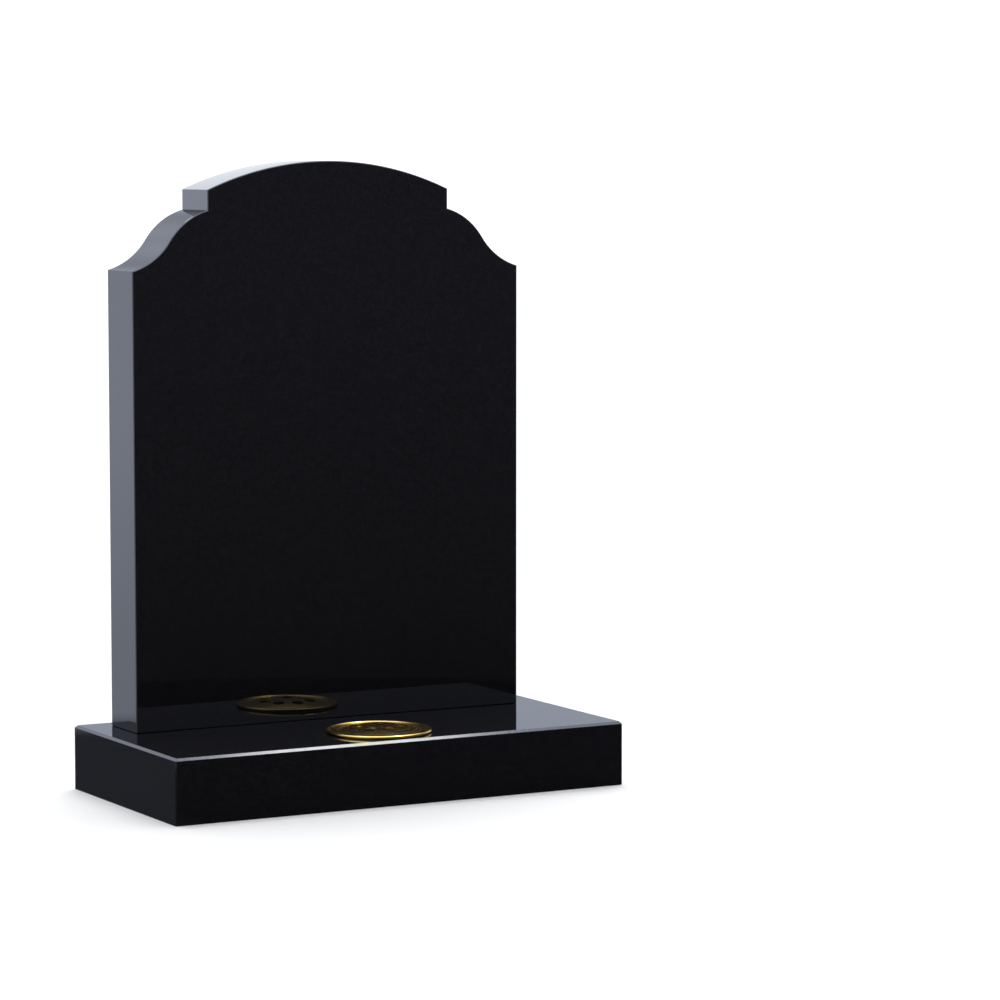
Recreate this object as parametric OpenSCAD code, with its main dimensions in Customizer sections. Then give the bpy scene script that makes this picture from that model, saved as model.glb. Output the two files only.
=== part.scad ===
// Lawn memorial in polished granite: an upright tablet on a base block, with a flower container
// let into the base in front of the tablet, under a perforated lid.
// Millimetres, +Z up, front towards -Y, origin at the centre of the base's underside.

/* [Tablet] */
// Width of the tablet
tablet_w = 533; // [446:1:760]
// Thickness of the tablet, front to back
tablet_t = 76; // [50:1:100]
// Height of the tablet at the middle of its cambered top, above the base
tablet_h = 697; // [400:1:1000]
// Rise of the cambered top above its two ends
camber_rise = 35; // [15:1:120]
// Width of the cambered top, between the two upright checks
check_w = 332; // [180:1:420]
// Height of each upright check
check_rise = 25; // [8:1:60]
// Height of each ogee, from the shoulder up to the check
ogee_rise = 73; // [40:1:130]
// Slope of the ogee where it leaves the shoulder and where it meets the check, in degrees
ogee_slope = 15; // [0:1:30]

/* [Base block] */
// How far the base stands out past the tablet on each side
base_ledge = 38.5; // [0:0.5:120]
// Depth of the base, front to back
base_d = 305; // [250:1:400]
// Height of the base
base_h = 80; // [50:1:150]
// How far the tablet's back is set in from the base's back
tablet_setback = 28; // [4:1:38]
// Width of the small bevel round the base's top
base_arris = 3; // [0.5:0.5:6]
// Width of the small bevel on the base's four upright corners
corner_arris = 1.5; // [0.5:0.5:5]

/* [Flower container] */
// Outside diameter of the cup
cup_d = 100; // [70:1:124]
// Thickness of the cup's wall, floor and flange
cup_wall = 1.5; // [1:0.1:3]
// Outside radius between the cup's wall and its floor
cup_corner = 6; // [4:0.5:12]
// Height of the cup's floor above the base's underside
cup_foot = 8; // [2:0.5:20]
// Space between the cup and the hole in the base
hole_clearance = 2; // [0.5:0.5:5]
// How far the flange bears on the stone round the hole
flange_bearing = 8; // [4:0.5:12]

/* [Flower lid] */
// Distance from the lid's rim to the front of the base
lid_margin = 7.5; // [4:0.5:20]
// Space between the flange and the lid's rolled rim
rim_clearance = 1; // [0.5:0.5:2]
// Diameter of the lid's rolled rim
rim_bead = 4; // [3:0.5:5]
// Height of the rolled rim above the stone
rim_lift = 0.4; // [0.1:0.1:0.8]
// Thickness of the lid's sheet
lid_sheet = 1.5; // [1:0.1:1.5]
// Rise of the lid's domed middle
dome_rise = 7; // [3:0.5:20]
// Diameter of each hole in the lid
stem_hole_d = 15; // [8:0.5:18]
// Number of holes in the ring round the middle one
stem_holes = 8; // [5:1:9]
// Radius of that ring of holes
stem_ring = 31; // [25:0.5:34]

/* [Hidden] */
$fn = 240;
polished_black = [0.07, 0.07, 0.085];
plain_aluminium = [0.78, 0.79, 0.8];
gold_anodised = [0.83, 0.65, 0.25];
// Slack past a face where one shape cuts another
slack = 1;
// How far the ogee's hollow reaches into its round, so that no crack opens where they touch
arc_overlap = 0.01;

// Heights of the tablet's outline, above the base
check_top = tablet_h - camber_rise;
check_foot = check_top - check_rise;
shoulder_h = check_foot - ogee_rise;
// Where the ogee starts, bends over and ends, on the right-hand side
ogee_start = [tablet_w / 2, shoulder_h];
ogee_end = [check_w / 2, check_foot];
ogee_mid = (ogee_start + ogee_end) / 2;
// The ogee is two equal arcs, hollow below and round above, and is steepest where they meet
ogee_run = (tablet_w - check_w) / 2;
ogee_steepest = 2 * atan(ogee_rise / ogee_run) - ogee_slope;
ogee_r = ogee_run / 2 / (sin(ogee_steepest) - sin(ogee_slope));
ogee_normal = [sin(ogee_slope), cos(ogee_slope)];
hollow_centre = ogee_start + ogee_r * ogee_normal;
round_centre = ogee_end - ogee_r * ogee_normal;
// The cambered top is one arc
camber_r = (pow(check_w / 2, 2) + pow(camber_rise, 2)) / (2 * camber_rise);
camber_centre = [0, tablet_h - camber_r];

base_w = tablet_w + 2 * base_ledge;
tablet_back = base_d / 2 - tablet_setback;

hole_d = cup_d + 2 * hole_clearance;
flange_d = hole_d + 2 * flange_bearing;
flange_top = base_h + cup_wall;
lid_d = flange_d + 2 * (rim_clearance + rim_bead);
flower_place = [0, lid_margin + lid_d / 2 - base_d / 2, 0];

// The right-hand half of the outline, without the top between the checks
module tablet_side() {
    difference() {
        union() {
            square([tablet_w / 2, ogee_mid.y]);
            intersection() {
                translate([0, shoulder_h]) square([ogee_mid.x, ogee_rise + check_rise]);
                translate(round_centre) circle(ogee_r);
            }
        }
        translate(hollow_centre) circle(ogee_r + arc_overlap);
    }
}

module tablet_outline() {
    for (side = [0, 1]) mirror([side, 0]) tablet_side();
    intersection() {
        translate([-check_w / 2, 0]) square([check_w, tablet_h + slack]);
        translate(camber_centre) circle(camber_r);
    }
}

module tablet() {
    color(polished_black)
        translate([0, tablet_back, base_h]) rotate([90, 0, 0])
            linear_extrude(tablet_t) tablet_outline();
}

// A block's end view, with its two upper corners bevelled
function end_view(width, height, bevel) = [
    [-width / 2, 0], [width / 2, 0], [width / 2, height - bevel],
    [width / 2 - bevel, height], [bevel - width / 2, height], [-width / 2, height - bevel]
];

// The block's plan, with all four corners bevelled
module base_plan() {
    difference() {
        square([base_w, base_d], center = true);
        for (x = [-base_w, base_w] / 2, y = [-base_d, base_d] / 2)
            translate([x, y]) rotate(45) square(corner_arris * sqrt(2), center = true);
    }
}

module base() {
    color(polished_black)
        difference() {
            intersection() {
                linear_extrude(base_h) base_plan();
                rotate([90, 0, 0]) linear_extrude(base_d, center = true)
                    polygon(end_view(base_w, base_h, base_arris));
                rotate([90, 0, 90]) linear_extrude(base_w, center = true)
                    polygon(end_view(base_d, base_h, base_arris));
            }
            translate(flower_place) translate([0, 0, -slack])
                cylinder(h = base_h + 2 * slack, d = hole_d);
        }
}

// Half of an upright pot's section, with a round corner between its wall and its floor
module pot_section(radius, floor_z, top_z, corner) {
    translate([0, floor_z + corner]) square([radius, top_z - floor_z - corner]);
    translate([0, floor_z]) square([radius - corner, corner]);
    translate([radius - corner, floor_z + corner]) intersection() {
        circle(corner);
        translate([0, -corner]) square([corner, corner]);
    }
}

module flower_container() {
    color(plain_aluminium)
        translate(flower_place) rotate_extrude()
            difference() {
                union() {
                    pot_section(cup_d / 2, cup_foot, flange_top, cup_corner);
                    translate([0, base_h]) square([flange_d / 2, cup_wall]);
                }
                pot_section(cup_d / 2 - cup_wall, cup_foot + cup_wall, flange_top + slack,
                            cup_corner - cup_wall);
            }
}

// Half of the lid's section: a rolled rim, a flat seat on the flange and a low dome
module lid_section() {
    dome_r = cup_d / 2;
    curve_r = (pow(dome_r, 2) + pow(dome_rise, 2)) / (2 * dome_rise);
    bead_x = lid_d / 2 - rim_bead / 2;
    translate([bead_x, base_h + rim_lift + rim_bead / 2]) circle(d = rim_bead);
    translate([dome_r, flange_top]) square([bead_x - dome_r, lid_sheet]);
    intersection() {
        translate([0, flange_top]) square([dome_r, dome_rise + 2 * lid_sheet]);
        translate([0, flange_top + dome_rise - curve_r]) difference() {
            circle(curve_r + lid_sheet);
            circle(curve_r);
        }
    }
}

module flower_lid() {
    hole_h = dome_rise + 4 * lid_sheet;
    color(gold_anodised)
        translate(flower_place) difference() {
            rotate_extrude() lid_section();
            translate([0, 0, flange_top - lid_sheet]) {
                cylinder(h = hole_h, d = stem_hole_d);
                for (i = [0 : stem_holes - 1]) rotate(360 * i / stem_holes)
                    translate([stem_ring, 0, 0]) cylinder(h = hole_h, d = stem_hole_d);
            }
        }
}

tablet();
base();
flower_container();
flower_lid();
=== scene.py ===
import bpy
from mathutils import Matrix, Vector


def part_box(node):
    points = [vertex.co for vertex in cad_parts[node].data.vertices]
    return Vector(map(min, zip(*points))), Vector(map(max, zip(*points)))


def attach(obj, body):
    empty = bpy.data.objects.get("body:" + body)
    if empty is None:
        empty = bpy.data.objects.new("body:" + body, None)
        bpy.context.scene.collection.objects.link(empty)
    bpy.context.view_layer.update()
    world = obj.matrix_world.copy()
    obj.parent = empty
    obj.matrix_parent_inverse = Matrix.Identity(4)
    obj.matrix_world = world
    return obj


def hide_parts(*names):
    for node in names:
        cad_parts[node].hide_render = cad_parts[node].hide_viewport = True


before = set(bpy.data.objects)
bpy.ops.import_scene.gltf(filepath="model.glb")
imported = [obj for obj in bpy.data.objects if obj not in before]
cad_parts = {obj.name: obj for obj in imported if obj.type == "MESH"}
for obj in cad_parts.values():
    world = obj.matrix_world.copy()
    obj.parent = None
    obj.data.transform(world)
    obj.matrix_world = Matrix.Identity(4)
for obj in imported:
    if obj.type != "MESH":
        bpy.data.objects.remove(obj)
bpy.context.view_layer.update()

import bmesh
import bpy
import numpy as np
from mathutils import Vector

# ---------------------------------------------------------------------------------------------
# The base: one block of fine-grained black granite, sawn to size and polished on its top and four
# sides, with its edges eased by hand. It is drilled right through for the flower container, and
# its underside and the drilled hole are left as the saw and the drill left them.
# ---------------------------------------------------------------------------------------------

base_half_width, base_half_depth, base_top = np.array(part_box("base")[1])
base_arris = 0.003
corner_arris = 0.0015

cup_low, cup_high = (np.array(corner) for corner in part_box("flower_container"))
flower_centre = (cup_low + cup_high)[:2] / 2
cup_radius = 0.05
hole_clearance = 0.002
hole_radius = cup_radius + hole_clearance
round_steps = 96

near_black = (0.0037, 0.0035, 0.0046, 1)
dark_crystal = (0.0068, 0.0066, 0.0081, 1)
pale_fleck = (0.050, 0.050, 0.058, 1)
dark_saw_grey = (0.060, 0.060, 0.064, 1)
pale_saw_grey = (0.105, 0.105, 0.110, 1)
crystals_per_metre = 520
flecks_per_metre = 1100


class Nodes:
    """Short ways to add nodes to one node tree and to join them."""

    def __init__(self, tree):
        self.tree = tree

    def add(self, kind, settings=None, **inputs):
        """Adds a node. An input is a number, a colour or another node's output."""
        node = self.tree.nodes.new(kind)
        for key, value in (settings or {}).items():
            setattr(node, key, value)
        for key, value in inputs.items():
            self.join(value, node.inputs[key.replace("_", " ")])
        return node

    def join(self, value, socket):
        if isinstance(value, bpy.types.NodeSocket):
            self.tree.links.new(value, socket)
        else:
            socket.default_value = value

    def blend(self, factor, first, second):
        """A colour that runs from the first to the second as the factor goes from 0 to 1."""
        mix = self.tree.nodes.new("ShaderNodeMix")
        mix.data_type = "RGBA"
        self.join(factor, mix.inputs[0])
        self.join(first, mix.inputs[6])
        self.join(second, mix.inputs[7])
        return mix.outputs[2]

    def mix(self, factor, first, second):
        """A number that runs from the first to the second as the factor goes from 0 to 1."""
        mix = self.tree.nodes.new("ShaderNodeMix")
        self.join(factor, mix.inputs[0])
        self.join(first, mix.inputs[2])
        self.join(second, mix.inputs[3])
        return mix.outputs[0]

    def ease(self, value, start, end, low=0.0, high=1.0):
        """Runs smoothly from low to high as the value goes from start to end."""
        node = self.add("ShaderNodeMapRange", {"interpolation_type": "SMOOTHSTEP"}, Value=value)
        for key, number in zip(("From Min", "From Max", "To Min", "To Max"), (start, end, low, high)):
            node.inputs[key].default_value = number
        return node.outputs["Result"]


class Finish(Nodes):
    """One material under construction, with its shader and the point's place in the frame."""

    def __init__(self, name):
        self.material = bpy.data.materials.new(name)
        self.material.use_nodes = True
        super().__init__(self.material.node_tree)
        self.shader = self.tree.nodes["Principled BSDF"]
        self.place = self.add("ShaderNodeTexCoord").outputs["Object"]

    def set(self, **inputs):
        """Sets the shader's own sockets."""
        for key, value in inputs.items():
            self.join(value, self.shader.inputs[key.replace("_", " ")])


def granite_colour(finish):
    """Near-black ground, a mosaic of slightly paler crystals, and a small pale fleck in the middle
    of about one in ten of the cells of a finer mosaic."""
    crystals = finish.add("ShaderNodeTexVoronoi", Vector=finish.place, Scale=crystals_per_metre)
    crystal = finish.add("ShaderNodeSeparateColor", Color=crystals.outputs["Color"])
    ground = finish.blend(finish.ease(crystal.outputs["Red"], 0.35, 1.0), near_black, dark_crystal)
    flecks = finish.add("ShaderNodeTexVoronoi", Vector=finish.place, Scale=flecks_per_metre)
    fleck = finish.add("ShaderNodeSeparateColor", Color=flecks.outputs["Color"])
    middle = finish.ease(flecks.outputs["Distance"], 0.45, 0.25)
    share = finish.mix(finish.ease(fleck.outputs["Green"], 0.86, 0.98), 0.0, middle)
    return finish.blend(share, ground, pale_fleck)


def polished_granite():
    """Mirror polish: the colour of the stone under a clear, slightly uneven gloss."""
    finish = Finish("polished black granite")
    cloud = finish.add("ShaderNodeTexNoise", Vector=finish.place, Scale=9.0, Detail=3.0)
    finish.set(
        Base_Color=granite_colour(finish),
        Roughness=finish.ease(cloud.outputs["Fac"], 0.3, 0.7, 0.015, 0.04),
        IOR=1.54,
    )
    return finish.material


def eased_granite():
    """The bevelled edges, rubbed by hand, which are less sharp in their gloss than the faces."""
    finish = Finish("rubbed granite edge")
    rub = finish.add("ShaderNodeTexNoise", Vector=finish.place, Scale=260.0, Detail=2.0)
    finish.set(
        Base_Color=granite_colour(finish),
        Roughness=finish.ease(rub.outputs["Fac"], 0.3, 0.7, 0.13, 0.19),
        IOR=1.54,
    )
    return finish.material


def sawn_granite():
    """Unpolished grey stone, scored by the saw in fine parallel lines along X."""
    finish = Finish("sawn granite")
    grain = finish.add("ShaderNodeTexNoise", Vector=finish.place, Scale=700.0, Detail=4.0)
    stretch = finish.add("ShaderNodeMapping", Vector=finish.place)
    stretch.inputs["Scale"].default_value = (6, 900, 900)
    scores = finish.add("ShaderNodeTexNoise", Vector=stretch.outputs["Vector"], Scale=1.0, Detail=3.0)
    colour = finish.blend(grain.outputs["Fac"], dark_saw_grey, pale_saw_grey)
    bump = finish.add("ShaderNodeBump", Height=scores.outputs["Fac"], Strength=0.35)
    bump.inputs["Distance"].default_value = 0.0004
    finish.set(Base_Color=colour, Roughness=0.85, Normal=bump.outputs["Normal"])
    return finish.material


def add_object(name, data):
    """Puts a mesh, a light or a camera into the scene."""
    thing = bpy.data.objects.new(name, data)
    bpy.context.scene.collection.objects.link(thing)
    return thing


def make_piece(name, sheets, flats, materials, node, sharp_angle=25):
    """Joins grids of points (rows, columns, 3) and flat outlines (points, 3), each with the number
    of its material, into one closed mesh whose faces point outwards."""
    points, faces, face_materials, count = [], [], [], 0
    for grid, material in sheets:
        rows, columns = grid.shape[:2]
        index = count + np.arange(rows * columns).reshape(rows, columns)
        quads = np.stack([index[:-1, :-1], index[:-1, 1:], index[1:, 1:], index[1:, :-1]], axis=-1)
        points.append(grid.reshape(-1, 3))
        faces += quads.reshape(-1, 4).tolist()
        face_materials += [material] * ((rows - 1) * (columns - 1))
        count += rows * columns
    for outline, material in flats:
        points.append(outline)
        faces.append(list(range(count, count + len(outline))))
        face_materials.append(material)
        count += len(outline)
    mesh = bpy.data.meshes.new(name)
    mesh.from_pydata(np.concatenate(points).tolist(), [], faces)
    mesh.polygons.foreach_set("material_index", face_materials)
    weld = bmesh.new()
    weld.from_mesh(mesh)
    bmesh.ops.remove_doubles(weld, verts=weld.verts, dist=1e-6)
    bmesh.ops.dissolve_degenerate(weld, edges=weld.edges, dist=1e-7)
    bmesh.ops.recalc_face_normals(weld, faces=weld.faces)
    weld.to_mesh(mesh)
    weld.free()
    mesh.polygons.foreach_set("use_smooth", [True] * len(mesh.polygons))
    mesh.set_sharp_from_angle(angle=np.radians(sharp_angle))
    for material in materials:
        mesh.materials.append(material)
    piece = add_object(name, mesh)
    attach(piece, "root")
    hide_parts(node)
    return piece


def base_outline(inset, height):
    """The block's plan at one height, moved in by the inset, with its corners cut off. It starts
    at the middle of the front and goes round by the right, through the middle of the back."""
    x, y = base_half_width - inset, base_half_depth - inset
    cut = corner_arris
    right = [(0, -y), (x - cut, -y), (x, cut - y), (x, y - cut), (x - cut, y), (0, y)]
    left = [(-px, py) for px, py in right[4:0:-1]]
    plan = np.array(right + left + right[:1])
    return np.column_stack([plan, np.full(len(plan), height)])


def circle(radius, height):
    """A circle round the flower container's centre, which starts at the front and closes."""
    turn = np.linspace(0, 2 * np.pi, round_steps + 1) - np.pi / 2
    return np.column_stack([
        flower_centre[0] + radius * np.cos(turn),
        flower_centre[1] + radius * np.sin(turn),
        np.full(round_steps + 1, height),
    ])


def drilled_face(inset, height):
    """A face with the hole through it, as two outlines that meet on the middle line."""
    edge, hole = base_outline(inset, height), circle(hole_radius, height)
    half_edge, half_hole = len(edge) // 2, round_steps // 2
    right = np.concatenate([edge[: half_edge + 1], hole[: half_hole + 1][::-1]])
    left = np.concatenate([edge[half_edge:], hole[half_hole:][::-1]])
    return right, left


polished, eased, sawn = polished_granite(), eased_granite(), sawn_granite()
base_sides = np.stack([base_outline(0, 0), base_outline(0, base_top - base_arris)])
base_edge = np.stack([base_outline(0, base_top - base_arris), base_outline(base_arris, base_top)])
base_hole = np.stack([circle(hole_radius, 0), circle(hole_radius, base_top)])
make_piece(
    "polished_base",
    [(base_sides, 0), (base_edge, 1), (base_hole, 2)],
    [(half, 0) for half in drilled_face(base_arris, base_top)]
    + [(half, 2) for half in drilled_face(0, 0)],
    [polished, eased, sawn],
    "base",
)

# ---------------------------------------------------------------------------------------------
# The tablet: one slab of the same granite, cut to its outline of ogees, checks and cambered top,
# polished all round and eased along its front and back edges and round its foot. It stands on the
# base on its own sawn underside.
# ---------------------------------------------------------------------------------------------

tablet_low, tablet_high = (np.array(corner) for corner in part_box("tablet"))
tablet_half_width = tablet_high[0]
tablet_foot, tablet_apex = tablet_low[2], tablet_high[2]
tablet_front, tablet_back = tablet_low[1], tablet_high[1]
tablet_arris = 0.001
camber_rise = 0.035
check_half_width = 0.166
check_rise = 0.025
ogee_rise = 0.073
ogee_slope = np.radians(15)
check_top = tablet_apex - camber_rise
check_foot = check_top - check_rise
shoulder = check_foot - ogee_rise
arc_steps = 24
camber_steps = 40


def arc(centre, radius, first, last, steps):
    """Points of an arc of the outline and the directions in which the stone ends there."""
    turn = np.linspace(first, last, steps + 1)
    outward = np.column_stack([np.cos(turn), np.sin(turn)])
    return np.array(centre) + radius * outward, outward


def mitre(first, second):
    """The way out at a corner between two faces: their directions' sum over one plus their product,
    which makes a bevel as wide on both sides of the corner."""
    return (first + second) / (1 + first @ second)


def half_outline():
    """The outline's right-hand half, from the foot up to the apex, and the way in at each point.

    The ogee is two equal arcs that meet at its steepest slope: twice the slope of its chord less
    its slope at both ends. The camber's radius comes from its width and its rise."""
    run = tablet_half_width - check_half_width
    steepest = 2 * np.arctan(ogee_rise / run) - ogee_slope
    radius = run / 2 / (np.sin(steepest) - np.sin(ogee_slope))
    upright = np.array([np.sin(ogee_slope), np.cos(ogee_slope)])
    hollow_centre = np.array([tablet_half_width, shoulder]) + radius * upright
    round_centre = np.array([check_half_width, check_foot]) - radius * upright
    quarter = np.pi / 2
    hollow, hollow_out = arc(
        hollow_centre, radius, -quarter - ogee_slope, -quarter - steepest, arc_steps
    )
    crown, crown_out = arc(
        round_centre, radius, quarter - steepest, quarter - ogee_slope, arc_steps
    )
    camber_radius = (check_half_width**2 + camber_rise**2) / (2 * camber_rise)
    camber_half = np.arcsin(check_half_width / camber_radius)
    camber, camber_out = arc(
        (0, tablet_apex - camber_radius), camber_radius, quarter - camber_half, quarter, camber_steps
    )
    sideways = np.array([1.0, 0.0])
    outline = np.concatenate([[(tablet_half_width, tablet_foot)], hollow, crown[1:], camber])
    outward = np.concatenate([[sideways], -hollow_out, crown_out[1:], camber_out])
    at_shoulder = 1
    at_check = at_shoulder + 2 * arc_steps
    at_corner = at_check + 1
    outward[at_shoulder] = mitre(sideways, -hollow_out[0])
    outward[at_check] = mitre(crown_out[-1], sideways)
    outward[at_corner] = mitre(sideways, camber_out[0])
    return outline, -outward


outline, inward = half_outline()
inner = outline + tablet_arris * inward
front, back = tablet_front, tablet_back
stations = [
    (-inner[:, 0], front, inner[:, 1]),
    (inner[:, 0], front, inner[:, 1]),
    (outline[:, 0], front + tablet_arris, outline[:, 1]),
    (outline[:, 0], back - tablet_arris, outline[:, 1]),
    (inner[:, 0], back, inner[:, 1]),
    (-inner[:, 0], back, inner[:, 1]),
    (-outline[:, 0], back - tablet_arris, outline[:, 1]),
    (-outline[:, 0], front + tablet_arris, outline[:, 1]),
]
rings = np.stack(
    [np.column_stack([x, np.full(len(outline), y), z]) for x, y, z in stations + stations[:1]], axis=1
)
# The foot is bevelled too, on all four sides: its own ring is smaller, below the lowest full one
foot = rings[0].copy()
foot[:, 0] = foot[:, 0].clip(tablet_arris - tablet_half_width, tablet_half_width - tablet_arris)
foot[:, 1] = foot[:, 1].clip(front + tablet_arris, back - tablet_arris)
rings[0, :, 2] += tablet_arris
# Columns of the ring by turns: a face, a bevelled edge, a side, a bevelled edge, and so on round
tablet_sheets = [(rings[:, column : column + 2], column % 2) for column in range(len(stations))]
make_piece(
    "polished_tablet", tablet_sheets + [(np.stack([foot, rings[0]]), 1)], [(foot[:-1], 2)],
    [polished, eased, sawn], "tablet",
)

# ---------------------------------------------------------------------------------------------
# The flower container: a cup spun from thin aluminium sheet, with a flange that hangs it in the
# hole. It is left in its own satin grey, with the fine rings that the spinning tool leaves.
# ---------------------------------------------------------------------------------------------

cup_wall = 0.0015
cup_corner = 0.006
flange_radius = hole_radius + 0.008
flange_top = base_top + cup_wall
cup_floor = cup_low[2]
corner_steps = 8

aluminium_dull = (0.50, 0.51, 0.53, 1)
aluminium_bright = (0.66, 0.67, 0.69, 1)
spun_rings_per_metre = 900


def spun_marks(finish, depth):
    """A bump of fine rings round the container's own axis, and the rings' own brightness."""
    centred = finish.add("ShaderNodeMapping", Vector=finish.place)
    centred.inputs["Location"].default_value = (-flower_centre[0], -flower_centre[1], 0)
    away = finish.add(
        "ShaderNodeVectorMath", {"operation": "MULTIPLY"}, Vector=centred.outputs["Vector"]
    )
    away.inputs[1].default_value = (1, 1, 0)
    radius = finish.add("ShaderNodeVectorMath", {"operation": "LENGTH"}, Vector=away.outputs["Vector"])
    height = finish.add("ShaderNodeSeparateXYZ", Vector=finish.place)
    section = finish.add("ShaderNodeCombineXYZ")
    finish.join(radius.outputs["Value"], section.inputs["X"])
    finish.join(height.outputs["Z"], section.inputs["Y"])
    rings = finish.add(
        "ShaderNodeTexNoise", Vector=section.outputs["Vector"], Scale=spun_rings_per_metre, Detail=2.0
    )
    bump = finish.add("ShaderNodeBump", Height=rings.outputs["Fac"], Strength=0.18)
    bump.inputs["Distance"].default_value = depth
    return rings.outputs["Fac"], bump.outputs["Normal"]


def spun_aluminium():
    """Satin metal whose brightness and gloss change a little from ring to ring."""
    finish = Finish("spun aluminium")
    rings, normal = spun_marks(finish, 0.0001)
    finish.set(
        Base_Color=finish.blend(rings, aluminium_dull, aluminium_bright),
        Metallic=1.0,
        Roughness=finish.ease(rings, 0.3, 0.7, 0.28, 0.42),
        Normal=normal,
    )
    return finish.material


def corner_arc(radius, floor, corner):
    """A quarter circle from a pot's floor up to its wall, as radius and height."""
    turn = np.linspace(-np.pi / 2, 0, corner_steps + 1)
    return np.column_stack([
        radius - corner + corner * np.cos(turn),
        floor + corner + corner * np.sin(turn),
    ])


def revolve(section):
    """A section of radii and heights, turned once round the flower container's axis."""
    return np.stack([circle(radius, height) for radius, height in section])


cup_section = np.concatenate([
    [(0, cup_floor)],
    corner_arc(cup_radius, cup_floor, cup_corner),
    [(cup_radius, base_top), (flange_radius, base_top), (flange_radius, flange_top)],
    [(cup_radius - cup_wall, flange_top)],
    corner_arc(cup_radius - cup_wall, cup_floor + cup_wall, cup_corner - cup_wall)[::-1],
    [(0, cup_floor + cup_wall)],
])
make_piece(
    "spun_flower_cup", [(revolve(cup_section), 0)], [], [spun_aluminium()],
    "flower_container",
)

# ---------------------------------------------------------------------------------------------
# The flower lid: aluminium sheet pressed into a low dome, pierced for the stems and rolled over at
# its rim, then anodised gold. It rests on the container's flange.
# ---------------------------------------------------------------------------------------------

lid_sheet = 0.0015
dome_rise = 0.007
dome_radius = cup_radius
rim_bead = 0.002
rim_lift = 0.0004
rim_clearance = 0.001
bead_centre = (flange_radius + rim_clearance + rim_bead, base_top + rim_lift + rim_bead)
stem_hole = 0.0075
stem_ring = 0.031
stem_holes = 8
band_half_width = 0.0105
band_inner, band_outer = stem_ring - band_half_width, stem_ring + band_half_width
cell_steps = 12
cell_rows = 6
lid_steps = cell_steps * stem_holes
rim_steps = 24

gold_deep = (0.66, 0.40, 0.085, 1)
gold_bright = (0.90, 0.64, 0.22, 1)


def gold_anodised():
    """Bright gold metal, with the spinning rings still showing faintly through the colour."""
    finish = Finish("gold anodised aluminium")
    rings, normal = spun_marks(finish, 0.00006)
    finish.set(
        Base_Color=finish.blend(rings, gold_deep, gold_bright),
        Metallic=1.0,
        Roughness=finish.ease(rings, 0.3, 0.7, 0.16, 0.28),
        Normal=normal,
    )
    return finish.material


def dome(grid, sheet):
    """Raises a flat grid, centred on the lid, to the dome's inner face, or to its outer face when
    the sheet's thickness is given. Both faces are spheres of one centre, and flat past the dome."""
    curve = (dome_radius**2 + dome_rise**2) / (2 * dome_rise)
    away = np.hypot(grid[..., 0], grid[..., 1])
    sphere = flange_top + dome_rise - curve + np.sqrt((curve + sheet) ** 2 - away**2)
    height = np.where(away < dome_radius, np.maximum(sphere, flange_top + sheet), flange_top + sheet)
    return np.dstack([grid[..., 0] + flower_centre[0], grid[..., 1] + flower_centre[1], height])


def flat_ring(inner, outer, rows):
    """Rings of points between two radii, centred on the lid."""
    turn = (np.arange(lid_steps + 1) - cell_steps / 2) * 2 * np.pi / lid_steps
    radius = np.linspace(inner, outer, rows)[:, None]
    return np.dstack([radius * np.cos(turn), radius * np.sin(turn)])


def stem_cell(number):
    """The part of the pierced band round one hole: rows that run from the hole's circle out to the
    cell's own edge, which is an arc outside, a straight side, an arc inside and the other side."""
    side = np.linspace(0, 1, cell_steps, endpoint=False)
    half = np.pi / stem_holes
    turn = np.concatenate([
        -half + 2 * half * side, np.full(cell_steps, half),
        half - 2 * half * side, np.full(cell_steps, -half), [-half],
    ])
    radius = np.concatenate([
        np.full(cell_steps, band_outer), band_outer + (band_inner - band_outer) * side,
        np.full(cell_steps, band_inner), band_inner + (band_outer - band_inner) * side, [band_outer],
    ])
    round_hole = np.linspace(-np.pi / 4, 7 * np.pi / 4, len(turn))
    edge = np.column_stack([radius * np.cos(turn), radius * np.sin(turn)])
    hole = np.column_stack([
        stem_ring + stem_hole * np.cos(round_hole), stem_hole * np.sin(round_hole)
    ])
    share = np.linspace(0, 1, cell_rows)[:, None, None]
    cell = hole + (edge - hole) * share
    spin = 2 * np.pi * number / stem_holes
    return np.dstack([
        cell[..., 0] * np.cos(spin) - cell[..., 1] * np.sin(spin),
        cell[..., 0] * np.sin(spin) + cell[..., 1] * np.cos(spin),
    ])


def rolled_rim():
    """The rim's section: an arc of its bead from the sheet's outer face round to its inner face,
    with the flat seat inside it, as rings round the lid."""
    leave, join = (
        np.arcsin((flange_top + sheet - bead_centre[1]) / rim_bead) for sheet in (lid_sheet, 0)
    )
    turn = np.linspace(np.pi - leave, join - np.pi, rim_steps + 1)[:, None]
    section = np.column_stack([
        bead_centre[0] + rim_bead * np.cos(turn), bead_centre[1] + rim_bead * np.sin(turn)
    ])
    seat = [(dome_radius, flange_top + lid_sheet)], [(dome_radius, flange_top)]
    section = np.concatenate([seat[0], section, seat[1]])
    around = flat_ring(1, 1, rows=1)[0]
    return np.stack([
        np.column_stack([flower_centre + radius * around, np.full(len(around), height)])
        for radius, height in section
    ])


lid_plan = [
    flat_ring(stem_hole, band_inner, rows=5),
    flat_ring(band_outer, dome_radius, rows=4),
] + [stem_cell(number) for number in range(stem_holes)]
lid_holes = [flat_ring(stem_hole, stem_hole, rows=1)[0]] + [
    stem_cell(number)[0] for number in range(stem_holes)
]
lid_faces = [(dome(plan, sheet), 0) for plan in lid_plan for sheet in (0, lid_sheet)]
lid_walls = [
    (np.concatenate([dome(hole[None], 0), dome(hole[None], lid_sheet)]), 0) for hole in lid_holes
]
make_piece(
    "pierced_gold_lid", lid_faces + lid_walls + [(rolled_rim(), 0)], [], [gold_anodised()],
    "flower_lid", sharp_angle=12,
)

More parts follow.
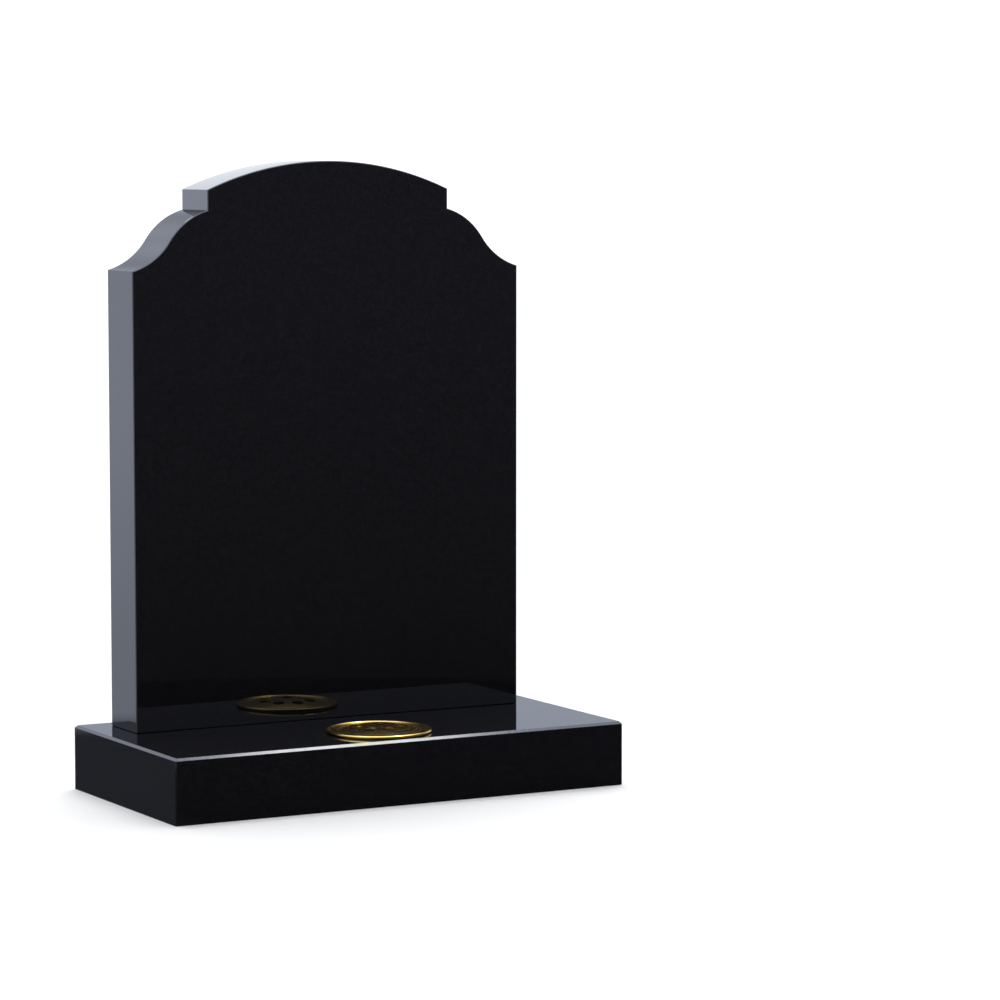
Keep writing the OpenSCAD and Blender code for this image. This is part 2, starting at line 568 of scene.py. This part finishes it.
# ---------------------------------------------------------------------------------------------
# The studio: a plain white floor under a white surround, lit from a high window behind. What the
# polished stone mirrors is a white cove behind on the left, a grey wall behind on the right, a dim room
# in front, a glowing card behind the tablet's top, a softbox overhead and a glowing stand beneath. The
# card and the stand are no lamps: what the stone shows of them is painted reflection, with painted
# light on the stand's cove side and rim.
# ---------------------------------------------------------------------------------------------

floor_half = 20.0
floor_white = (0.86, 0.86, 0.86, 1)
floor_off_white = (0.88, 0.88, 0.88, 1)
surround_white = (1, 1, 1, 1)
backdrop_strength = 1.3
fill_strength = 0.76
mirrored_tint = (0.88, 0.955, 1.15, 1)


def pale_floor():
    """Plain, matt and almost white, with the faintest mottle."""
    finish = Finish("pale floor")
    mottle = finish.add("ShaderNodeTexNoise", Vector=finish.place, Scale=2.0, Detail=2.0)
    shade = finish.blend(mottle.outputs["Fac"], floor_white, floor_off_white)
    finish.set(Base_Color=shade, Roughness=0.9)
    return finish.material


def flat_card(name, corners, material):
    """A flat piece of the studio, given by its corners, which is not part of the stone."""
    mesh = bpy.data.meshes.new(name)
    mesh.from_pydata(corners.tolist(), [], [list(range(len(corners)))])
    mesh.materials.append(material)
    card = add_object(name, mesh)
    return card


def only_mirrored(card):
    """Leaves a card out of everything but mirrored light."""
    card.visible_camera = False
    card.visible_diffuse = False
    card.visible_shadow = False
    card.visible_transmission = False


floor_corners = floor_half * np.array([(-1, -1, 0), (1, -1, 0), (1, 1, 0), (-1, 1, 0)])
floor = flat_card("floor", floor_corners, pale_floor())
floor.visible_glossy = False

# The stand is a glowing disc just below the floor that only the gloss sees, and no lamp: a painted
# reflection of dim ground round the stone, with painted light on its cove side and rim.
stand_radius = 0.92
stand_dark_radius = 0.72
stand_depth = -0.002
stand_steps = 96
stand_dim_glow = 0.012
stand_painted_lit_glow = 0.085
stand_painted_rim_glow = 0.95
cove_direction = (-0.87, 0.48, 0)


def glowing(name, place_to_strength, tint):
    """A surface that gives off its own light, by its place."""
    finish = Finish(name)
    light = finish.add("ShaderNodeEmission", Color=tint, Strength=place_to_strength(finish))
    finish.join(light.outputs["Emission"], finish.tree.nodes["Material Output"].inputs["Surface"])
    return finish.material


def stand_painted_glow(finish):
    """Painted light: the stand glows dimly all round the stone, a little more on the side of the white
    cove, behind on the left, and brightly at its rim, as though lit there. The stone shows it only as a
    painted reflection."""
    radius = finish.add("ShaderNodeVectorMath", {"operation": "LENGTH"}, Vector=finish.place)
    lit = finish.ease(
        radius.outputs["Value"], stand_dark_radius, stand_radius, stand_painted_lit_glow, stand_painted_rim_glow
    )
    towards_cove = finish.add("ShaderNodeVectorMath", {"operation": "DOT_PRODUCT"}, Vector=finish.place)
    towards_cove.inputs[1].default_value = cove_direction
    return finish.mix(finish.ease(towards_cove.outputs["Value"], 0.10, 0.20), stand_dim_glow, lit)


stand_turn = np.linspace(0, 2 * np.pi, stand_steps, endpoint=False)
stand_corners = np.column_stack([
    stand_radius * np.cos(stand_turn),
    stand_radius * np.sin(stand_turn),
    np.full(stand_steps, stand_depth),
])
# The glowing stand, seen only in the stone's gloss as a painted reflection
only_mirrored(flat_card(
    "glowing_stand_painted_reflection", stand_corners, glowing("glowing stand, painted reflection", stand_painted_glow, mirrored_tint)
))


# The card stands just behind the tablet's top and above it, so that only the camber mirrors it. It
# glows though it is no lamp, and only the gloss sees it, so the camber's bright strip is a painted
# reflection.
def card_painted_glow(finish):
    """Painted light: the card's glow is brightest at its left end."""
    place = finish.add("ShaderNodeSeparateXYZ", Vector=finish.place)
    return finish.ease(place.outputs["X"], -0.15, 0.10, 1.75, 0.8)


card_left, card_right = -0.40, 0.45
card_back = 0.20
card_low, card_high = 0.768, 0.84
card_glow_tint = (0.94, 0.99, 1.07, 1)
card_corners = np.array([
    (card_left, card_back, card_low), (card_right, card_back, card_low),
    (card_right, card_back, card_high), (card_left, card_back, card_high),
])
# The glowing card, seen only in the camber's gloss as a painted reflection
only_mirrored(flat_card(
    "glowing_card_painted_reflection", card_corners, glowing("glowing card, painted reflection", card_painted_glow, card_glow_tint)
))


def mirrored_brightness(nodes):
    """The surround's brightness by direction, for what the gloss mirrors.

    Behind, it is bright below the horizon, less than half as bright just above it, and higher up
    bright on the left and less than half as bright on the right. In front it is dim, but bright
    far to the left. Overhead it is brightest."""
    place = nodes.add("ShaderNodeTexCoord").outputs["Generated"]
    direction = nodes.add("ShaderNodeSeparateXYZ", Vector=place)
    x, y, z = (direction.outputs[axis] for axis in "XYZ")
    low = nodes.mix(nodes.ease(z, -0.035, -0.01), nodes.ease(z, -0.15, -0.06, 0.95, 1.28), 1.75)
    wall = nodes.ease(x, -0.48, 0.48, 0.42, 0.65)
    high = nodes.ease(x, -0.25, 0.28, 1.5, 0.6)
    behind = nodes.mix(nodes.ease(z, 0.02, 0.10), low, wall)
    behind = nodes.mix(nodes.ease(z, 0.17, 0.42), behind, high)
    room = nodes.mix(nodes.ease(z, 0.02, 0.14), nodes.ease(z, -0.15, 0.0, 0.04, 0.095), 0.26)
    in_front = nodes.mix(nodes.ease(x, -0.80, -0.60), 1.2, room)
    around = nodes.mix(nodes.ease(y, -0.2, 0.4), in_front, behind)
    return nodes.mix(nodes.ease(z, 0.50, 0.85), around, 3.0)


def studio_surround():
    """White to the camera, a softer white to the matt surfaces, and graded by direction to the
    glossy ones."""
    world = bpy.data.worlds.new("studio")
    world.use_nodes = True
    nodes = Nodes(world.node_tree)
    path = nodes.add("ShaderNodeLightPath")
    seen = nodes.mix(path.outputs["Is Camera Ray"], fill_strength, backdrop_strength)
    plain = nodes.add("ShaderNodeBackground", Color=surround_white, Strength=seen)
    glossy = nodes.add(
        "ShaderNodeBackground", Color=mirrored_tint, Strength=mirrored_brightness(nodes)
    )
    either = nodes.add("ShaderNodeMixShader", Fac=path.outputs["Is Glossy Ray"])
    nodes.join(plain.outputs["Background"], either.inputs[1])
    nodes.join(glossy.outputs["Background"], either.inputs[2])
    nodes.join(either.outputs["Shader"], world.node_tree.nodes["World Output"].inputs["Surface"])
    return world


bpy.context.scene.world = studio_surround()
bpy.context.scene.view_settings.view_transform = "Standard"

# A softbox overhead, mirrored as the highlight along the base's front edge
softbox = bpy.data.lights.new("softbox", "AREA")
softbox.shape = "RECTANGLE"
softbox.size, softbox.size_y = 0.42, 0.5
softbox.energy = 8.5
lamp = add_object("softbox", softbox)
lamp.location = (0.80, -0.455, 1.8)
lamp.visible_camera = False
lamp.visible_diffuse = False


def heading(azimuth, elevation):
    """A direction by its turn in degrees from the back towards the right, and its angle upwards."""
    turn, rise = np.radians(azimuth), np.radians(elevation)
    return Vector((np.sin(turn) * np.cos(rise), np.cos(turn) * np.cos(rise), np.sin(rise)))


def point_along(thing, direction):
    """Turns a light or a camera to look along a direction."""
    thing.rotation_mode = "QUATERNION"
    thing.rotation_quaternion = direction.to_track_quat("-Z", "Y")


# A broad window high up behind the stone, which lights only what is matt and casts the stone's
# shadow on the floor
window_light = bpy.data.lights.new("high_window", "SUN")
window_light.angle = np.radians(44)
window_light.energy = 2.1
window = add_object("high_window", window_light)
point_along(window, -heading(30, 70))
window.visible_camera = False
window.visible_glossy = False

# The camera stands in front and to the left, level with the tablet's top, with a long lens
camera_looks = heading(29.13, -5.23)
camera_distance = 4.66
camera_aim = Vector((0.1555, -0.1063, 0.3604))
camera_data = bpy.data.cameras.new("camera")
camera_data.lens = 136.05
camera_data.sensor_width = 36
camera = add_object("camera", camera_data)
camera.location = camera_aim - camera_distance * camera_looks
point_along(camera, camera_looks)
bpy.context.scene.camera = camera
